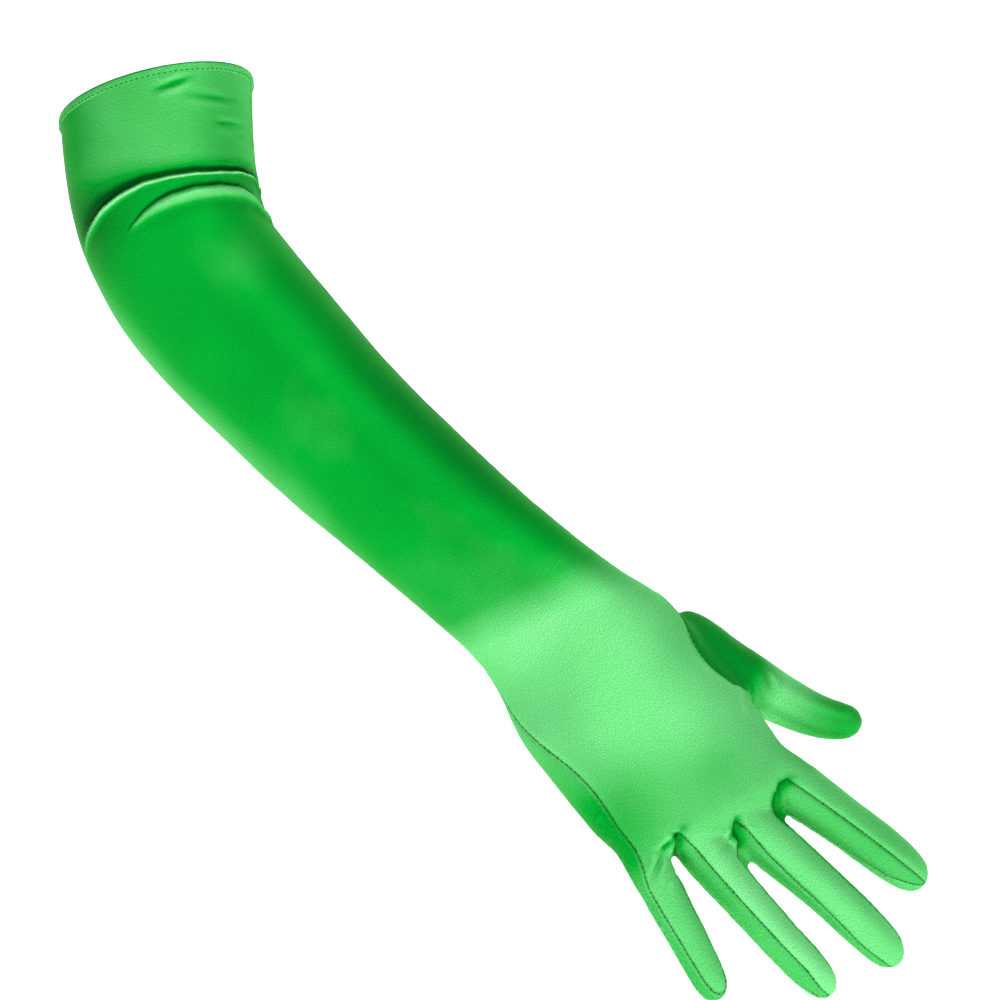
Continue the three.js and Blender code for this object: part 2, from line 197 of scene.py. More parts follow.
class Path:
    # Stations as arrays, to find for any points where they lie along and around the path
    def __init__(self, stations, length):
        self.place = np.array([s["place"] for s in stations])
        self.along = np.array([s["along"] for s in stations])
        self.side = np.array([s["side"] for s in stations])
        self.back = np.array([s["back"] for s in stations])
        self.half = np.array([(s["width"] / 2, s["depth"] / 2) for s in stations])
        self.square = np.array([s.get("square", 2) for s in stations])
        self.at = np.array([s["at"] for s in stations])
        self.length = length
        self.tree = KDTree(len(stations))
        for i, s in enumerate(stations):
            self.tree.insert(s["place"], i)
        self.tree.balance()

    def local(self, points):
        near = np.array([self.tree.find(p)[1] for p in points])
        offset = points - self.place[near]
        ahead = np.einsum("ij,ij->i", offset, self.along[near])
        across = np.einsum("ij,ij->i", offset, self.side[near])
        up = np.einsum("ij,ij->i", offset, self.back[near])
        return near, self.at[near] + ahead / self.length, across, up

    def outside(self, points):
        near, at, across, up = self.local(points)
        half, square = self.half[near], self.square[near]
        ring = (np.abs(across / half[:, 0]) ** square + np.abs(up / half[:, 1]) ** square) ** (1 / square)
        beyond = np.maximum(at - self.at[-1], self.at[0] - at) * self.length
        return np.maximum((ring - 1) * half.min(1), beyond)


openEnd = -0.1 * wristShare  # the skin starts above the rim, which is cut later
armPath = Path(walk(armBase, armLength, armRows, evenly(openEnd, 1, 260)), armLength)
squarePath = Path(walk(armBase, armLength, squareRows, evenly(openEnd, 1, 260)), armLength)
fingerPaths = {name: Path(fingerPath(name, evenly(0, 1, 70)), fingers[name]["length"]) for name in fingers}
thumbLine = Path(thumbPath(evenly(0, 1, 70)), sizes["thumbLength"])
print("paths ready")


# One closed skin from rounded tubes

def drawnOut(bm, edges):
    found = bmesh.ops.extrude_edge_only(bm, edges=edges)["geom"]
    verts = [part for part in found if isinstance(part, bmesh.types.BMVert)]
    edges = [part for part in found if isinstance(part, bmesh.types.BMEdge) and all(v in found for v in part.verts)]
    return verts, edges


def ringsOf(bm, sides, count):
    rings = [bmesh.ops.create_circle(bm, cap_ends=False, segments=sides, radius=1)["verts"]]
    edges = list(dict.fromkeys(edge for vert in rings[0] for edge in vert.link_edges))
    for _ in range(count - 1):
        verts, edges = drawnOut(bm, edges)
        rings.append(verts)
    return rings


def addObject(name, data):
    made = bpy.data.objects.new(name, data)
    bpy.context.scene.collection.objects.link(made)
    return made


def tubeMesh(bm, stations, sides):
    rings = ringsOf(bm, sides, len(stations))
    for station, ring in zip(stations, rings):
        square = station.get("square", 2)
        for k, vert in enumerate(ring):
            angle = 2 * pi * k / sides
            across = np.sign(cos(angle)) * abs(cos(angle)) ** (2 / square) * station["width"] / 2
            up = np.sign(sin(angle)) * abs(sin(angle)) ** (2 / square) * station["depth"] / 2
            vert.co = (station["place"] + station["side"] * across + station["back"] * up) * mm
    for ring in (rings[0], rings[-1]):
        bmesh.ops.contextual_create(bm, geom=ring)


skin = dict(voxel=0.0018, smooth=3, webSmooth=8, webReach=5.5, armRings=150, armSides=96, fingerSides=40)
fingerShares = evenly(0, 0.9, 26) + [0.925, 0.945, 0.96, 0.972, 0.982, 0.99, 0.996, 1]  # closer together at the tip
bm = bmesh.new()
tubeMesh(bm, walk(armBase, armLength, armRows, evenly(openEnd, 1, skin["armRings"])), skin["armSides"])
for name in fingers:
    tubeMesh(bm, fingerPath(name, fingerShares), skin["fingerSides"])
tubeMesh(bm, thumbPath(fingerShares), skin["fingerSides"])
bmesh.ops.recalc_face_normals(bm, faces=bm.faces)
rough = bpy.data.meshes.new("skin")
bm.to_mesh(rough)
bm.free()
skinObject = addObject("skin", rough)
remesh = skinObject.modifiers.new("remesh", "REMESH")
remesh.mode = "VOXEL"
remesh.voxel_size = skin["voxel"]
bpy.context.view_layer.update()
whole = bpy.data.meshes.new_from_object(skinObject.evaluated_get(bpy.context.evaluated_depsgraph_get()))
bpy.data.objects.remove(skinObject)
bm = bmesh.new()
bm.from_mesh(whole)
print("skin", len(bm.verts), "points")


def pointsOf(bm):
    bm.verts.ensure_lookup_table()
    bm.verts.index_update()
    return np.array([vert.co for vert in bm.verts]) / mm


def tubeDistances(points):
    distances = {"arm": armPath.outside(points), "thumb": thumbLine.outside(points)}
    for name, path in fingerPaths.items():
        distances[name] = path.outside(points)
    return distances


def smoothed(bm, verts, times):
    for _ in range(times):
        bmesh.ops.smooth_vert(bm, verts=verts, factor=0.5, use_axis_x=True, use_axis_y=True, use_axis_z=True)


smoothed(bm, bm.verts, skin["smooth"])
points = pointsOf(bm)
second = np.sort(np.array(list(tubeDistances(points).values())), axis=0)[1]
webs = [bm.verts[i] for i in np.nonzero(second < skin["webReach"])[0]]
smoothed(bm, webs, skin["webSmooth"])


# Where each seam runs: every function is zero along its seam

seamRollRows = named(("at", "roll"), [(0, 0), (0.3, 8), (0.6, 15), (0.85, 11), (1, 6)])
# Where the side seam changes over from the hand to the curled sheet of the fingers, and over how many millimetres
seamSheet = dict(start=0.9, blend=7)
# The strips between the fingers. edge: degrees from the finger's side up to the seam on the back, along the finger.
# roots: the round end of each strip on the back of the hand, behind its web.
fourchettes = dict(
    width=13, overlap=3,
    taper=[(0, 1), (0.5, 1), (0.8, 0.72), (0.93, 0.3), (0.98, 0), (1.2, -1)],
    edge={
        ("index", -1): [(0.2, 76), (0.9, 75)],
        ("middle", 1): [(0.2, 36), (0.9, 38)],
        ("middle", -1): [(0.2, 60), (0.32, 45), (0.44, 37), (0.56, 32), (0.81, 22), (0.92, 28)],
        ("ring", 1): [(0.2, 34), (0.9, 34)],
        ("ring", -1): [(0.12, 58), (0.81, 61), (0.92, 50)],
        ("little", 1): [(0.12, 38), (0.9, 34)],
    },
    roots=named(("x", "z", "radius", "turn"), [
        (258, -281.3, 10.6, -33), (237, -291, 6.5, -43), (217, -297, 10.2, -57)]),
)
# How far the thumb's seam lies from the line where thumb and hand meet, by the share of the thumb's length
thumbInset = [
    (-0.13, 0), (-0.08, 6.5), (-0.04, 9.2), (0, 9.3), (0.04, 8), (0.08, 6.4), (0.12, 5.7), (0.18, 5.9),
    (0.24, 6.2), (0.3, 6.6), (0.35, 4.6), (0.42, 0.6)]
fourchettePairs = [("index", "middle"), ("middle", "ring"), ("ring", "little")]


def smoothStep(value, low, high):
    t = np.clip((value - low) / (high - low), 0, 1)
    return t * t * (3 - 2 * t)


def backSide(points):
    near, at, across, up = squarePath.local(points)
    inPalm = np.clip((squarePath.at - wristShare) / (1 - wristShare), 0, 1)
    roll = np.radians([rowAt(seamRollRows, share)["roll"] for share in inPalm])[near]
    onArm = up * np.cos(roll) + across * np.sin(roll)
    tilt = radians(seamRollRows[-1]["roll"])
    offset = points - np.array(hand["place"])
    along = offset @ np.array(hand["along"])
    sideways = offset @ np.array(hand["side"])
    raised = offset @ np.array(hand["back"])
    curl = np.radians(sizes["fingerCurl"] * np.maximum(along, 0) / longestReach)
    sunk = (1 - np.cos(curl)) * longestReach / radians(sizes["fingerCurl"])
    onSheet = (raised + sunk) * cos(tilt) + sideways * sin(tilt)
    start = seamSheet["start"] * (1 - sizes["knuckles"]) * sizes["palmLength"]
    share = smoothStep(along, start - seamSheet["blend"], start + seamSheet["blend"])
    return onArm * (1 - share) + onSheet * share


def strip(points, name, sign):
    path = fingerPaths[name]
    near, at, across, up = path.local(points)
    radius = path.half[near].mean(1)
    around = np.degrees(np.arctan2(up, across * sign))
    edge = np.interp(at, *zip(*fourchettes["edge"][name, sign]))
    wide = fourchettes["width"] * np.interp(at, *zip(*fourchettes["taper"]))
    fromEdge = np.radians(edge - around) * radius
    return np.minimum(fromEdge, wide - fromEdge)


# How far the points lie on the fingers' side of the curve that ends a strip behind its web, and how far from it
def pastRoot(points, root):
    turn = radians(root["turn"])
    x, z = points[:, 0] - root["x"], points[:, 2] - root["z"]
    ahead = x * cos(turn) + z * sin(turn)
    aside = np.abs(z * cos(turn) - x * sin(turn))
    past = root["radius"] + np.where(ahead < 0, -np.hypot(ahead, aside), ahead - aside)
    return past, np.where(ahead < 0, np.abs(past), np.hypot(ahead, aside - root["radius"]))


def seamsAt(points):
    distances = tubeDistances(points)
    thumb = distances.pop("thumb")
    inset = np.interp(thumbLine.local(points)[1], *zip(*thumbInset))
    found = {"thumb": np.minimum.reduce(list(distances.values())) - thumb + inset, "back": backSide(points)}
    for (first, other), root in zip(fourchettePairs, fourchettes["roots"]):
        a, b = distances[first], distances[other]
        rest = np.minimum.reduce([distances[name] for name in fingers if name not in (first, other)] + [thumb])
        both = np.maximum(np.minimum(strip(points, first, -1), b - a + fourchettes["overlap"]),
                          np.minimum(strip(points, other, 1), a - b + fourchettes["overlap"]))
        found[first + "_" + other] = np.minimum.reduce([both, rest - np.minimum(a, b), pastRoot(points, root)[0]])
    return found


# Folds, dents and creases move the cloth along its normal.
# Two folds cross the inside of the elbow. line: where the ridge lies, by degrees round the arm. held: how strong it
# is. lift and tone: height, and painted highlight on the ridge and painted shade in the valley, by millimetres down
# the arm from that line.
folds = [
    dict(line=[(-60, 0.22), (-20, 0.19), (-1, 0.167), (10, 0.139), (25, 0.122), (42, 0.114), (59, 0.109), (74, 0.109),
               (90, 0.114), (106, 0.1275), (121, 0.144), (131, 0.159), (153, 0.189), (180, 0.22)],
         held=[(-180, 0), (-60, 0.3), (-15, 0.5), (0, 0.7), (15, 1), (122, 1), (140, 0.6), (155, 0.2), (165, 0)],
         wide=[(80, 1), (100, 1.4), (125, 2), (150, 2.2)],
         lift=[(-14, 0), (-7, 0.4), (-3.8, 0.6), (-2.6, -0.3), (-1.4, -1.7), (-0.7, -1), (0, 1.3), (0.7, 1.1),
               (1.5, 0.2), (4, 0)],
         tone=[(-9, 0), (-5, -0.3), (-3, -0.8), (-1.6, -1.35), (-0.7, -1.2), (-0.2, 1), (0, 1.5), (0.45, 1.4),
               (0.9, 0.1), (1.6, -0.4), (3.5, -0.3), (7, -0.1), (10, 0)]),
    dict(line=[(-60, 0.3), (-20, 0.27), (7, 0.22), (16, 0.1756), (28, 0.15), (44, 0.1363), (61, 0.1316), (76, 0.1366),
               (85, 0.144), (93, 0.154), (105, 0.1735), (130, 0.21)],
         held=[(-50, 0), (-10, 0.3), (8, 0.75), (20, 1), (80, 1), (98, 0.75), (108, 0)],
         wide=[(0, 1.3), (30, 1.2), (60, 1), (80, 0.85), (92, 0.6), (105, 0.3)],
         lift=[(-4, 0), (-1.6, -0.3), (-0.7, -1.1), (0, 0.2), (1.2, 1.5), (3, 1.8), (5, 1.1), (7, 0.2),
               (9, -0.2), (13, 0)],
         tone=[(-3.4, 0), (-1.4, -0.4), (-0.5, -1.2), (0.2, 0.2), (0.8, 0.75), (2.4, 0.95), (4.2, 0.6),
               (6, 0.05), (8, -0.2), (14, 0)]),
]
# Small creases on the side of the glove's back, each from one end to the other: four on the cuff, then those beside
# the webs of the fingers, and three at the root of the thumb
creaseRows = named(("x0", "z0", "x1", "z1", "deep", "wide"), [
    (3, -1, 18, 4.6, 0.8, 1.1), (14, -2.2, 35, -2.6, 0.35, 1.2),
    (26, -12, 37, -12.4, 0.5, 1.1), (33, -15.4, 38, -17, 0.35, 1),
    (197, -310, 203.5, -297, 1.1, 1.1), (199, -300, 208, -292, 0.8, 1), (203, -313, 209, -303, 0.7, 1),
    (205, -291, 211, -295, 0.9, 1), (232, -286, 237, -296, 0.9, 1.1), (226, -300, 233, -291, 0.7, 1.1),
    (250, -272, 252.5, -283, 0.7, 1.2),
    (240, -230, 243, -243, 0.8, 1.4), (246, -228, 249, -238, 0.6, 1.2), (236, -236, 240, -246, 0.4, 1.3),
])


def fromFold(armAt, angle, fold):
    away = (armAt / wristShare - np.interp(np.degrees(angle), *zip(*fold["line"]))) * sizes["sleeveLength"]
    return away / np.interp(np.degrees(angle), *zip(*fold["wide"]))


def foldLift(armAt, angle, what):
    total = np.zeros(len(armAt))
    for fold in folds:
        shape = np.interp(fromFold(armAt, angle, fold), *zip(*fold[what]))
        total += shape * np.interp(np.degrees(angle), *zip(*fold["held"]))
    return total


def nearFolds(armAt, angle, reach):
    near = np.zeros(len(armAt), bool)
    for fold in folds:
        away = fromFold(armAt, angle, fold)
        near |= (away > -reach) & (away < reach) & (np.interp(np.degrees(angle), *zip(*fold["held"])) > 0.1)
    return near


def creaseLift(points, facing):
    height = np.zeros(len(points))
    flat = points[:, [0, 2]]
    for crease in creaseRows:
        start = np.array((crease["x0"], crease["z0"]))
        run = np.array((crease["x1"], crease["z1"])) - start
        share = np.clip((flat - start) @ run / (run @ run), 0, 1)
        gap = np.linalg.norm(flat - start - share[:, None] * run, axis=1)
        taper = np.sin(pi * np.clip(share * 0.9 + 0.05, 0, 1))
        wide = crease["wide"]
        shape = np.exp(-(gap / wide) ** 2) - 0.5 * np.exp(-((gap - 2.2 * wide) / wide) ** 2)
        height -= crease["deep"] * shape * taper * facing
    return height


def placeOnArm(points):
    near, at, across, up = armPath.local(points)
    half = armPath.half[near]
    return at, across, up, half, np.arctan2(up / half[:, 1], across / half[:, 0])


def stripsIn(seams):
    return np.maximum.reduce([seams[first + "_" + other] for first, other in fourchettePairs])


# Finer mesh beside the seams, over the creases and in two passes over the elbow folds
finer = dict(seams=2.4, leastCrease=0.04, backOnly=12, folds=10, ridges=3)
points = pointsOf(bm)
seams = seamsAt(points)
armAt, across, up, armHalf, angle = placeOnArm(points)
anyStrip = stripsIn(seams)
fine = (np.abs(seams["thumb"]) < finer["seams"]) | (np.abs(anyStrip) < finer["seams"])
fine |= (np.abs(seams["back"]) < finer["seams"]) & (anyStrip < finer["seams"])
fine |= nearFolds(armAt, angle, finer["folds"])
fine |= (np.abs(creaseLift(points, 1)) > finer["leastCrease"]) & (points[:, 1] < finer["backOnly"])
for _ in range(2):
    fineEdges = [edge for edge in bm.edges if fine[edge.verts[0].index] and fine[edge.verts[1].index]]
    bmesh.ops.subdivide_edges(bm, edges=fineEdges, cuts=1, use_grid_fill=True, smooth=0)
    points = pointsOf(bm)
    armAt, across, up, armHalf, angle = placeOnArm(points)
    fine = nearFolds(armAt, angle, finer["ridges"])
print("finer", len(bm.verts), "points")

bm.normal_update()
normals = np.array([vert.normal for vert in bm.verts])
inPalm = (armAt - wristShare) / (1 - wristShare)
seams = seamsAt(points)
anyStrip = stripsIn(seams)
toThumb = np.abs(seams["thumb"]) * 0.7
toSeam = np.where(anyStrip < 0, np.minimum(-anyStrip, np.abs(seams["back"])), anyStrip)
toSeam = np.where(seams["thumb"] < 0, np.minimum(toSeam, toThumb), toThumb)

# Heights in millimetres: the seam's groove and the cloth that swells beside it, the puckers that its thread draws,
# the welt along the thumb's seam, and the cloth's own slack in a wide and a narrow wave
cloth = dict(
    groove=0.5, grooveWidth=0.7, pillow=0.16, pillowAway=2, pillowWidth=1.1,
    pucker=0.2, puckerReach=2.6, puckerSize=2.4, welt=0.6, weltAway=0.8, weltWidth=0.6,
    slack=0.55, slackSize=34, ripple=0.16, rippleSize=15)
facing = np.clip(-normals[:, 1] * 2 - 0.4, 0, 1)  # creases show on the back's side alone
creases = creaseLift(points, facing)
tipCalm = np.ones(len(points))  # no puckers at the rounded tips
for path in list(fingerPaths.values()) + [thumbLine]:
    tipCalm *= 1 - smoothStep(path.local(points)[1], 0.9, 0.97) * (path.outside(points) < 2)
lift = foldLift(armAt, angle, "lift") * (armAt < wristShare)
lift += creases
soft = np.array([noise.noise(Vector(p) / cloth["slackSize"]) * cloth["slack"]
                 + noise.noise(Vector(p) / cloth["rippleSize"] + Vector((7, 1, 3))) * cloth["ripple"] for p in points])
lift += soft * smoothStep(armAt, 0.02, 0.08)
lift -= cloth["groove"] * tipCalm * np.exp(-(toSeam / cloth["grooveWidth"]) ** 2)
lift += cloth["pillow"] * tipCalm * np.exp(-((toSeam - cloth["pillowAway"]) / cloth["pillowWidth"]) ** 2)
puckers = np.array([noise.noise(Vector(p) / cloth["puckerSize"]) for p in points])
lift += cloth["pucker"] * tipCalm * puckers * np.exp(-(toSeam / cloth["puckerReach"]) ** 2)
onHand = (seams["thumb"] < 0) & (anyStrip < 0)
lift += cloth["welt"] * onHand * np.exp(-((toThumb - cloth["weltAway"]) / cloth["weltWidth"]) ** 2)

# Values that ride on the points: the seams to cut along, how far the next seam is, the cloth's own directions,
# and the tone that carries painted light and shade
layers = {name: bm.verts.layers.float.new(name) for name in seams}
seamLayer = bm.verts.layers.float.new("seamDistance")
alongLayer = bm.verts.layers.float.new("clothAlong")
acrossLayer = bm.verts.layers.float.new("clothAcross")
toneLayer = bm.verts.layers.float.new("tone")
flatten = smoothStep(inPalm, 0.35, 0.85)
onBack = seams["back"] > 0
aroundArm = np.arctan2(across / armHalf[:, 0], np.where(onBack, up, -up) / armHalf[:, 1])
clothAcross = armHalf[:, 0] * aroundArm * (1 - flatten) + across * flatten
clothAlong = armAt * armLength
thumbNear, thumbAt, thumbAcross, thumbUp = thumbLine.local(points)
onThumb = seams["thumb"] > 0
# Painted light and shade in the cloth's tone: paler as painted highlight over the hand, the cuff, the wrist and the
# fold ridges, deeper as painted shade in the fold valleys, creases, web pits, strips and on the palm side.
# The spots below: at and across place them on the arm (shares of the sleeve and of its half width), long and wide
# are their reach, tone is a painted highlight above 0 and a painted shade below 0.
paintedLightRows = dict(
    arm=[(0, 0.42), (0.1, 0.46), (0.13, 0.15), (0.17, -0.1), (0.3, -0.06), (0.6, -0.05), (0.85, 0), (0.97, 0.15),
         (1.035, 0.95), (1.12, 0.96), (1.25, 1), (1.35, 0.75), (1.42, 0.7)],
    thumb=[(0, -0.25), (0.4, -0.2), (0.49, 0.4), (0.58, 1), (0.66, 0.75), (0.78, 0.32), (0.9, 0.12), (1, 0.1)],
    finger=dict(index=0.68, middle=0.85, ring=1.15, little=0.75),
    thumbPalmSide=0.85, strip=0.42, underSideShade=-0.4, rootShade=-0.8, rootReach=3.2, crease=0.9, slant=0.0016)
# Painted light in soft spots: a lit rim down the forearm's lower left, shade down its right and on the cuff's edges, a
# lit wrist and shaded patches on the hand
paintedLightSpots = named(("at", "across", "long", "wide", "tone"), [
    (0.3, -1, 0.12, 0.18, 0.5), (0.55, -1, 0.2, 0.28, 0.5), (0.29, 0.5, 0.1, 0.35, 0.14),
    (0.6, 0.95, 0.14, 0.3, -0.18), (0.8, 0.9, 0.16, 0.4, -0.3), (0.6, -0.1, 0.12, 0.4, 0.1),
    (0.06, -1, 0.12, 0.4, -0.65), (0.05, 0.9, 0.09, 0.35, -0.2), (1.32, -0.7, 0.07, 0.5, -0.4),
    (1.04, 0, 0.03, 0.6, 0.2), (1.37, 0.2, 0.04, 0.4, -0.25), (1.2, 0.75, 0.05, 0.3, -0.25),
    (1.4, -1, 0.1, 0.35, -0.4)])
alongSleeve, acrossSleeve = armAt / wristShare, across / armHalf[:, 0]
# Painted light along the arm: a pale cuff, a dark forearm and a bright hand, with a slanted edge at the wrist
tone = np.interp(alongSleeve - paintedLightRows["slant"] * across * (armAt > wristShare / 2), *zip(*paintedLightRows["arm"]))
for paintedSpot in paintedLightSpots:
    far = ((alongSleeve - paintedSpot["at"]) / paintedSpot["long"]) ** 2 + ((acrossSleeve - paintedSpot["across"]) / paintedSpot["wide"]) ** 2
    tone += paintedSpot["tone"] * np.exp(-far)
# Painted shade in the fold valleys and painted highlight on their ridges
tone += foldLift(armAt, angle, "tone") * (armAt < wristShare)
# Painted shade in the creases' hollows, and a little painted highlight on their raised sides
tone += creases * paintedLightRows["crease"]
# Painted light on the fingers: each finger's tone says how lit it looks, the ring finger brightest
for name, path in fingerPaths.items():
    fingerAt = path.local(points)[1]
    share = smoothStep(fingerAt, 0.02, 0.3) * (path.outside(points) < 1.5)
    tone = tone * (1 - share) + paintedLightRows["finger"][name] * share
# Painted shade on the palm side of the hand and fingers, beyond the side seam
tone += paintedLightRows["underSideShade"] * smoothStep(-seams["back"], 0, 1.5) * smoothStep(alongSleeve, 1.05, 1.2)
# Painted shade: the strips between the fingers are darker, and darkest in the pits at their roots behind the webs
fromRoot = np.min([pastRoot(points, root)[1] for root in fourchettes["roots"]], axis=0) + np.maximum(-anyStrip, 0)
tone = np.where(anyStrip > 0, paintedLightRows["strip"], tone)
tone += paintedLightRows["rootShade"] * np.exp(-(fromRoot / paintedLightRows["rootReach"]) ** 2)
# Painted light on the thumb: shaded at its root and tip, a painted highlight on its middle, paler on its palm side
thumbTone = np.interp(thumbAt, *zip(*paintedLightRows["thumb"]))
palmSide = 1 - smoothStep(thumbUp, -5, 1)
tone = np.where(onThumb, thumbTone * (1 - palmSide) + paintedLightRows["thumbPalmSide"] * palmSide, tone)
snap = 0.06  # points this near a seam lie on it, so that no sliver is cut
for i, vert in enumerate(bm.verts):
    vert.co += Vector(normals[i]) * float(lift[i]) * mm
    for name in seams:
        value = float(seams[name][i])
        vert[layers[name]] = 0 if abs(value) < snap else value
    vert[seamLayer] = float(toSeam[i])
    vert[alongLayer] = float(clothAlong[i])
    vert[acrossLayer] = float(clothAcross[i])
    vert[toneLayer] = float(tone[i])

# The arm opening
rimTurn = Matrix.Rotation(-radians(sizes["rimSlope"]), 3, "Y")
rimNormal = rimTurn @ Matrix.Rotation(-radians(sizes["rimTilt"]), 3, "X") @ Vector((0, 0, 1))
everything = bm.verts[:] + bm.edges[:] + bm.faces[:]
bmesh.ops.bisect_plane(bm, geom=everything, plane_co=rimNormal * -sizes["hemHeight"] * 0.5 * mm,
                       plane_no=rimNormal, clear_outer=True)


# Cuts the skin's edges where a seam crosses them and joins the new points across the faces
def cutSeam(bm, layer):
    onSeam = [vert for vert in bm.verts if vert[layer] == 0]
    crossing = [edge for edge in bm.edges if edge.verts[0][layer] * edge.verts[1][layer] < 0]
    for edge in crossing:
        start, end = edge.verts
        share = start[layer] / (start[layer] - end[layer])
        point = bmesh.utils.edge_split(edge, start, share)[1]
        point[layer] = 0
        onSeam.append(point)
    bmesh.ops.connect_verts(bm, verts=onSeam)


for name in layers:
    cutSeam(bm, layers[name])
bm.normal_update()


def ownerOf(face):
    value = {name: sum(vert[layers[name]] for vert in face.verts) for name in layers}
    if value["thumb"] > 0:
        return "thumb"
    for first, other in fourchettePairs:
        if value[first + "_" + other] > 0:
            return "fourchette_" + first + "_" + other
    return "back_panel" if value["back"] > 0 else "palm_panel"


owners = {face: ownerOf(face) for face in bm.faces}
print("cut", len(bm.faces), "faces")


# The lines that the seams follow, from the edges between two pieces
def seamLines(bm):
    links = {}
    for edge in bm.edges:
        if len(edge.link_faces) == 2 and owners[edge.link_faces[0]] != owners[edge.link_faces[1]]:
            for a, b in (edge.verts, reversed(edge.verts)):
                links.setdefault(a, []).append(b)
    lines, used = [], set()
    starts = [vert for vert in links if len(links[vert]) != 2] + list(links)
    for start in starts:
        for second in links[start]:
            if (start, second) in used:
                continue
            line = [start, second]
            used |= {(start, second), (second, start)}
            while len(links[line[-1]]) == 2 and line[-1] != start:
                following = [vert for vert in links[line[-1]] if (line[-1], vert) not in used]
                if not following:
                    break
                used |= {(line[-1], following[0]), (following[0], line[-1])}
                line.append(following[0])
            lines.append([(vert.co.copy(), vert.normal.copy()) for vert in line])
    return lines


def resampled(line, spacing):
    points = np.array([point for point, normal in line])
    for _ in range(4):
        points[1:-1] = points[1:-1] * 0.5 + (points[:-2] + points[2:]) * 0.25
    normals = np.array([normal for point, normal in line])
    gone = np.concatenate(([0], np.cumsum(np.linalg.norm(np.diff(points, axis=0), axis=1))))
    count = int(gone[-1] / spacing)
    if count < 2:
        return []
    at = (np.arange(count) + 0.5) * gone[-1] / count
    pick = lambda values, shift=0: np.stack([np.interp(at + shift, gone, values[:, k]) for k in range(3)], 1)
    ahead = pick(points, spacing * 0.3) - pick(points, -spacing * 0.3)
    return [tuple(Vector(v) for v in row) for row in zip(pick(points), ahead, pick(normals))]


lines = seamLines(bm)
print(len(lines), "seam lines,", sum(len(line) for line in lines), "points")


# Colours and materials

def linear(hexColour):
    channels = [int(hexColour[k:k + 2], 16) / 255 for k in (1, 3, 5)]
    return tuple(c / 12.92 if c <= 0.04045 else ((c + 0.055) / 1.055) ** 2.4 for c in channels) + (1,)


def addNode(tree, kind, inputs=(), **settings):
    node = tree.nodes.new(kind)
    for key, value in settings.items():
        setattr(node, key, value)
    for key, value in dict(inputs).items():
        if isinstance(value, bpy.types.NodeSocket):
            tree.links.new(value, node.inputs[key])
        else:
            node.inputs[key].default_value = value
    return node


# Polyester satin: long floating threads give a soft, wide gloss over a deep dye. Its threads are 0.1 mm apart,
# too fine for the render, so the grain is drawn at half a millimetre.
satinLook = dict(
    # tones: the ramp from painted shade in the valleys, through the cloth's own green, to painted highlight
    tones=[(0, "#02521a"), (0.333, "#02a832"), (0.667, "#74e086"), (1, "#a8f8b4")],
    seamShade="#0a6a22", grainAcross=0.3, grainAlong=0.6, grain=0.3, patch=30, roughness=0.42,
)


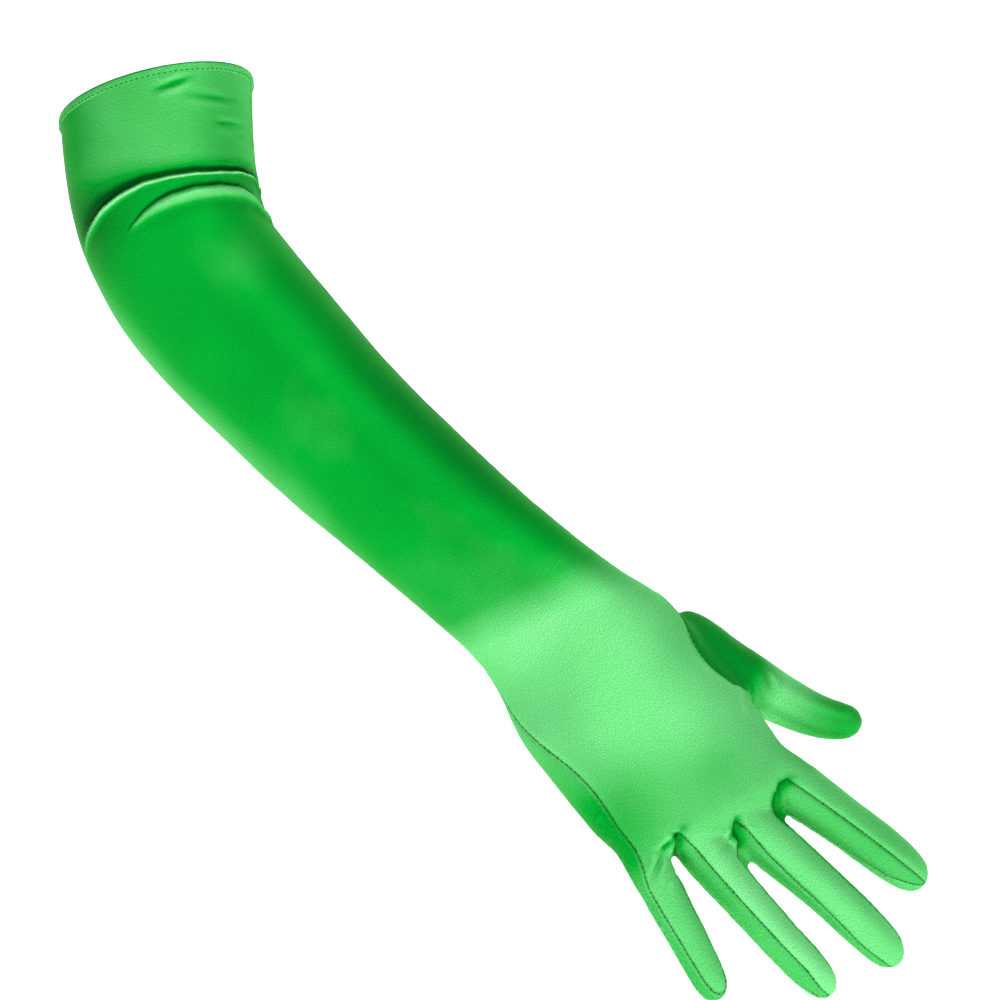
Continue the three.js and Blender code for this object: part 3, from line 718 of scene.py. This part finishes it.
def satin(name, look):
    material = bpy.data.materials.new(name)
    material.use_nodes = True
    tree = material.node_tree
    tree.nodes.clear()
    place = addNode(tree, "ShaderNodeTexCoord")
    clothMap = addNode(tree, "ShaderNodeUVMap", uv_map="cloth")
    grainMap = addNode(tree, "ShaderNodeMapping", {
        "Vector": clothMap.outputs["UV"], "Scale": (10 / look["grainAcross"], 10 / look["grainAlong"], 1)})
    grain = addNode(tree, "ShaderNodeTexNoise", {
        "Vector": grainMap.outputs["Vector"], "Scale": 1, "Detail": 2, "Roughness": 0.6})
    ribMap = addNode(tree, "ShaderNodeMapping", {"Vector": clothMap.outputs["UV"], "Scale": (10, 10, 1)})
    ribs = addNode(tree, "ShaderNodeTexWave", {
        "Vector": ribMap.outputs["Vector"], "Scale": 0.62, "Distortion": 0.6, "Detail": 2, "Detail Scale": 2},
        wave_type="BANDS", bands_direction="Y")
    patches = addNode(tree, "ShaderNodeTexNoise", {
        "Vector": place.outputs["Object"], "Scale": 1 / (look["patch"] * mm), "Detail": 2, "Roughness": 0.45})
    # The tone attribute holds painted light and shade; random paler and darker patches are added to it
    drawn = addNode(tree, "ShaderNodeAttribute", attribute_name="tone")
    patchTone = addNode(tree, "ShaderNodeMapRange", {
        "Value": patches.outputs["Fac"], "From Min": 0.3, "From Max": 0.7, "To Min": -0.08, "To Max": 0.08})
    paintedLightAndPatches = addNode(tree, "ShaderNodeMath", {0: drawn.outputs["Fac"], 1: patchTone.outputs["Result"]},
                    operation="ADD")
    ramped = addNode(tree, "ShaderNodeMapRange", {
        "Value": paintedLightAndPatches.outputs["Value"], "From Min": -1, "From Max": 2, "To Min": 0, "To Max": 1})
    tone = addNode(tree, "ShaderNodeValToRGB", {"Fac": ramped.outputs["Result"]})
    ramp = tone.color_ramp
    while len(ramp.elements) < len(look["tones"]):
        ramp.elements.new(0.5)
    for stop, (position, colour) in zip(ramp.elements, look["tones"]):
        stop.position = position
        stop.color = linear(colour)
    grainTone = addNode(tree, "ShaderNodeMapRange", {
        "Value": grain.outputs["Fac"], "From Min": 0.35, "From Max": 0.65,
        "To Min": 1 - look["grain"], "To Max": 1 + look["grain"]})
    threads = addNode(tree, "ShaderNodeMix", {0: 1, 6: tone.outputs["Color"], 7: grainTone.outputs["Result"]},
                      data_type="RGBA", blend_type="MULTIPLY")
    seamDistance = addNode(tree, "ShaderNodeAttribute", attribute_name="seamDistance")
    nearSeam = addNode(tree, "ShaderNodeMapRange", {
        "Value": seamDistance.outputs["Fac"], "From Min": 0.1, "From Max": 0.7, "To Min": 0.4, "To Max": 0})
    shaded = addNode(tree, "ShaderNodeMix", {0: nearSeam.outputs["Result"], 6: threads.outputs[2],
                                             7: linear(look["seamShade"])}, data_type="RGBA")
    gloss = addNode(tree, "ShaderNodeMapRange", {
        "Value": grain.outputs["Fac"], "From Min": 0.3, "From Max": 0.7,
        "To Min": look["roughness"] + 0.06, "To Max": look["roughness"] - 0.06})
    weave = addNode(tree, "ShaderNodeMath", {0: ribs.outputs["Fac"], 1: 0.35}, operation="MULTIPLY")
    height = addNode(tree, "ShaderNodeMath", {0: grain.outputs["Fac"], 1: weave.outputs["Value"]}, operation="ADD")
    bump = addNode(tree, "ShaderNodeBump", {"Strength": 0.45, "Distance": 0.00014, "Height": height.outputs["Value"]})
    tangent = addNode(tree, "ShaderNodeTangent", direction_type="UV_MAP", uv_map="cloth")
    shader = addNode(tree, "ShaderNodeBsdfPrincipled", {
        "Base Color": shaded.outputs[2], "Roughness": gloss.outputs["Result"], "Normal": bump.outputs["Normal"],
        "Tangent": tangent.outputs["Tangent"], "Anisotropic": 0.4, "Metallic": 0.36, "IOR": 1.4,
        "Specular IOR Level": 0.15, "Specular Tint": linear("#60e070")})
    addNode(tree, "ShaderNodeOutputMaterial", {"Surface": shader.outputs["BSDF"]})
    return material


# Spun polyester thread, matt and a shade darker than the cloth, with its twist drawn as fine bands
threadLook = dict(light="#0a5a20", dark="#043312", twist=0.5)


def sewingThread(name, look):
    material = bpy.data.materials.new(name)
    material.use_nodes = True
    tree = material.node_tree
    tree.nodes.clear()
    place = addNode(tree, "ShaderNodeTexCoord")
    twist = addNode(tree, "ShaderNodeTexWave", {
        "Vector": place.outputs["Object"], "Scale": 0.3 / (look["twist"] * mm), "Distortion": 2},
        wave_type="BANDS", bands_direction="DIAGONAL")
    tone = addNode(tree, "ShaderNodeMix", {0: twist.outputs["Fac"], 6: linear(look["dark"]),
                                           7: linear(look["light"])}, data_type="RGBA")
    bump = addNode(tree, "ShaderNodeBump", {"Strength": 0.5, "Distance": 0.00005, "Height": twist.outputs["Fac"]})
    shader = addNode(tree, "ShaderNodeBsdfPrincipled", {
        "Base Color": tone.outputs[2], "Roughness": 0.6, "Normal": bump.outputs["Normal"]})
    addNode(tree, "ShaderNodeOutputMaterial", {"Surface": shader.outputs["BSDF"]})
    return material


satinCloth = satin("PolyesterSatin", satinLook)
threadMaterial = sewingThread("SpunPolyesterThread", threadLook)


# Each panel is its share of the skin, with a wall's thickness inside it

def finished(name, mesh, material):
    mesh.materials.clear()
    mesh.materials.append(material)
    for polygon in mesh.polygons:
        polygon.use_smooth = True
    piece = addObject(name, mesh)
    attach(piece, "root")
    return piece


def clothMapOn(mesh):
    along = np.zeros(len(mesh.vertices), np.float32)
    across = np.zeros(len(mesh.vertices), np.float32)
    mesh.attributes["clothAlong"].data.foreach_get("value", along)
    mesh.attributes["clothAcross"].data.foreach_get("value", across)
    corners = np.zeros(len(mesh.loops), np.int32)
    mesh.loops.foreach_get("vertex_index", corners)
    spread = across[corners] / 10
    for polygon in mesh.polygons:
        own = slice(polygon.loop_start, polygon.loop_start + polygon.loop_total)
        if spread[own].max() - spread[own].min() > 2:
            spread[own] = np.where(spread[own] < 0, spread[own] + 2 * pi, spread[own])
    layer = mesh.uv_layers.new(name="cloth")
    layer.data.foreach_set("uv", np.stack([spread, along[corners] / 10], 1).ravel())


wall = dict(thickness=0.9, gap=0.06)
flatSizes = {
    "back_panel": dict(flat=(0.135, 0.53), area=0.043),
    "palm_panel": dict(flat=(0.135, 0.53), area=0.042),
    "thumb": dict(flat=(0.09, 0.105), area=0.0066),
    "fourchette_index_middle": dict(flat=(0.013, 0.17), area=0.0018),
    "fourchette_middle_ring": dict(flat=(0.013, 0.175), area=0.0018),
    "fourchette_ring_little": dict(flat=(0.013, 0.155), area=0.0017),
}
bm.faces.index_update()
for name in flatSizes:
    part = bm.copy()
    part.faces.ensure_lookup_table()
    foreign = [part.faces[face.index] for face in bm.faces if owners[face] != name]
    bmesh.ops.delete(part, geom=foreign, context="FACES")
    bmesh.ops.triangulate(part, faces=[face for face in part.faces if len(face.verts) > 4])
    edge = [vert for vert in part.verts if vert.is_boundary]
    for vert in edge:
        middle = sum((face.calc_center_median() for face in vert.link_faces), Vector()) / len(vert.link_faces)
        inward = middle - vert.co
        vert.co += inward.normalized() * wall["gap"] * mm
    mesh = bpy.data.meshes.new(name)
    part.to_mesh(mesh)
    part.free()
    clothMapOn(mesh)
    piece = finished(name + "_satin", mesh, satinCloth)
    solid = piece.modifiers.new("wall", "SOLIDIFY")
    solid.thickness = wall["thickness"] * mm
    solid.offset = -1
    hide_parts(name)
    area = sum(polygon.area for polygon in mesh.polygons)
    print(name, len(mesh.polygons), "faces", round(area, 5), "square metres")
bm.free()


# The turned edge of the arm opening, swept round it, from the outside over the top to the inside.
# profile: millimetres below the rim, and out from the arm's own outline. row: where its stitches lie.
hem = dict(sides=200, stations=90, row=dict(below=2.9, out=0.66), profile=[
    (3.5, 0.1), (3.4, 0.5), (2.8, 0.62), (1.8, 0.7), (0.8, 0.66), (0.25, 0.5), (0.03, 0.15), (0.0, -0.2),
    (0.05, -0.6), (0.4, -0.95), (1.4, -1.15), (2.6, -1.2), (3.5, -1.1)])


def rimPoint(angle, depth, out):
    across = (armPath.half[:, 0] + out) * cos(angle)
    up = (armPath.half[:, 1] + out) * sin(angle)
    line = armPath.place + armPath.side * across[:, None] + armPath.back * up[:, None]
    below = -(line @ np.array(rimNormal))
    line, below = line[:hem["stations"]], below[:hem["stations"]]
    return Vector([np.interp(depth, below, line[:, k]) for k in range(3)]) * mm


bm = bmesh.new()
mapLayer = bm.loops.layers.uv.new("cloth")
seamLayer = bm.verts.layers.float.new("seamDistance")
toneLayer = bm.verts.layers.float.new("tone")
rings = ringsOf(bm, hem["sides"], len(hem["profile"]))
for (depth, out), ring in zip(hem["profile"], rings):
    for k, vert in enumerate(ring):
        angle = 2 * pi * k / hem["sides"]
        ripple = 0.1 * sin(angle * 47) + 0.08 * sin(angle * 31 + 1)
        vert.co = rimPoint(angle, depth, out + ripple * min(depth, 2) / 2)
ends = [edge for edge in bm.edges if edge.is_boundary]
bmesh.ops.bridge_loops(bm, edges=ends)
bmesh.ops.recalc_face_normals(bm, faces=bm.faces)
for (depth, out), ring in zip(hem["profile"], rings):
    for vert in ring:
        vert[seamLayer] = 5
        # Painted light on the hem: its outside pale, its rim and inside dark as painted shade
        vert[toneLayer] = 0.45 if out > 0 and depth > 0.3 else -0.7
for face in bm.faces:
    for loop in face.loops:
        loop[mapLayer].uv = (loop.vert.co.x * 100, loop.vert.co.z * 100)
mesh = bpy.data.meshes.new("top_hem")
bm.to_mesh(mesh)
bm.free()
hemPiece = finished("top_hem_satin", mesh, satinCloth)
smoother = hemPiece.modifiers.new("smoother", "SUBSURF")
smoother.levels = smoother.render_levels = 1
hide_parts("top_hem")

# Stitches: short dark threads sunk along each seam, and a row through the hem
stitch = dict(spacing=2.2, length=1.5, width=0.46, height=0.34, sunk=-0.02)
bm = bmesh.new()
bmesh.ops.create_uvsphere(bm, u_segments=6, v_segments=4, radius=1)
oneStitch = np.array([vert.co for vert in bm.verts])
stitchFaces = [[vert.index for vert in face.verts] for face in bm.faces]
bm.free()
stitchPoints, allFaces = [], []


def sew(places):
    size = np.array((stitch["width"], stitch["length"], stitch["height"])) / 2 * mm
    for point, ahead, normal in places:
        forward = ahead.normalized()
        sideways = forward.cross(normal).normalized()
        upright = sideways.cross(forward)
        middle = point - upright * stitch["sunk"] * mm
        first = len(stitchPoints) * len(oneStitch)
        allFaces.extend([first + k for k in face] for face in stitchFaces)
        stitchPoints.append(oneStitch * size @ np.array((sideways, forward, upright)) + np.array(middle))


for line in lines:
    sew(resampled(line, stitch["spacing"] * mm))
hemLine = []
for k in range(241):
    angle = 2 * pi * k / 240
    point = rimPoint(angle, hem["row"]["below"], hem["row"]["out"])
    hemLine.append((point, (point - rimPoint(angle, hem["row"]["below"], -5)).normalized()))
sew(resampled(hemLine, stitch["spacing"] * mm))
mesh = bpy.data.meshes.new("stitches")
mesh.from_pydata(np.concatenate(stitchPoints).tolist(), [], allFaces)
stitches = finished("stitches", mesh, threadMaterial)
print("stitches", len(mesh.polygons), "faces")

# Floor and backdrop in one pale sweep, soft lights and the camera
studio = dict(
    key=dict(place=(0.9, -1.15, 0.5), size=0.9, power=9.5),
    fill=dict(place=(-0.7, -1.4, 0.3), size=1.2, power=3),
    rim=dict(place=(-0.6, 0.3, -0.75), size=0.5, power=6),
    aim=(0.15, 0, -0.2),
)
for name in ("key", "fill", "rim"):
    light = bpy.data.lights.new(name, "AREA")
    light.size = studio[name]["size"]
    light.energy = studio[name]["power"]
    lamp = addObject(name, light)
    lamp.location = studio[name]["place"]
    lamp.rotation_euler = (Vector(studio["aim"]) - lamp.location).to_track_quat("-Z", "Y").to_euler()

sweep = dict(width=6, front=-3, floor=-0.45, back=1.6, bend=0.8, steps=12, top=3)
bendStart = sweep["back"] - sweep["bend"]
bm = bmesh.new()
start = [bm.verts.new((x, sweep["front"], sweep["floor"])) for x in (-sweep["width"] / 2, sweep["width"] / 2)]
edges = [bm.edges.new(start)]
track = [(bendStart, sweep["floor"])]
for k in range(1, sweep["steps"] + 1):
    turn = pi / 2 * k / sweep["steps"]
    track.append((bendStart + sweep["bend"] * sin(turn), sweep["floor"] + sweep["bend"] * (1 - cos(turn))))
track.append((sweep["back"], sweep["top"]))
for y, z in track:
    verts, edges = drawnOut(bm, edges)
    for vert in verts:
        vert.co = (vert.co.x, y, z)
mesh = bpy.data.meshes.new("backdrop")
bm.to_mesh(mesh)
bm.free()
backdrop = addObject("backdrop", mesh)
paper = bpy.data.materials.new("BackdropPaper")
paper.use_nodes = True
paperShader = paper.node_tree.nodes["Principled BSDF"]
paperShader.inputs["Base Color"].default_value = linear("#f4f4f2")
paperShader.inputs["Roughness"].default_value = 0.9
paperShader.inputs["Emission Color"].default_value = (1, 1, 1, 1)
paperShader.inputs["Emission Strength"].default_value = 0.8
mesh.materials.append(paper)
for polygon in mesh.polygons:
    polygon.use_smooth = True

world = bpy.data.worlds.new("studio")
world.use_nodes = True
world.node_tree.nodes["Background"].inputs["Color"].default_value = (1, 1, 1, 1)
world.node_tree.nodes["Background"].inputs["Strength"].default_value = 0.2
bpy.context.scene.world = world
bpy.context.scene.view_settings.view_transform = "Standard"

camera = bpy.data.cameras.new("camera")
camera.sensor_width = 36
camera.lens = 117
cameraObject = addObject("camera", camera)
cameraObject.location = (0.1376, -1.3, -0.16)
cameraObject.rotation_euler = (pi / 2, 0, 0)
bpy.context.scene.camera = cameraObject

bpy.context.view_layer.update()
print("done")
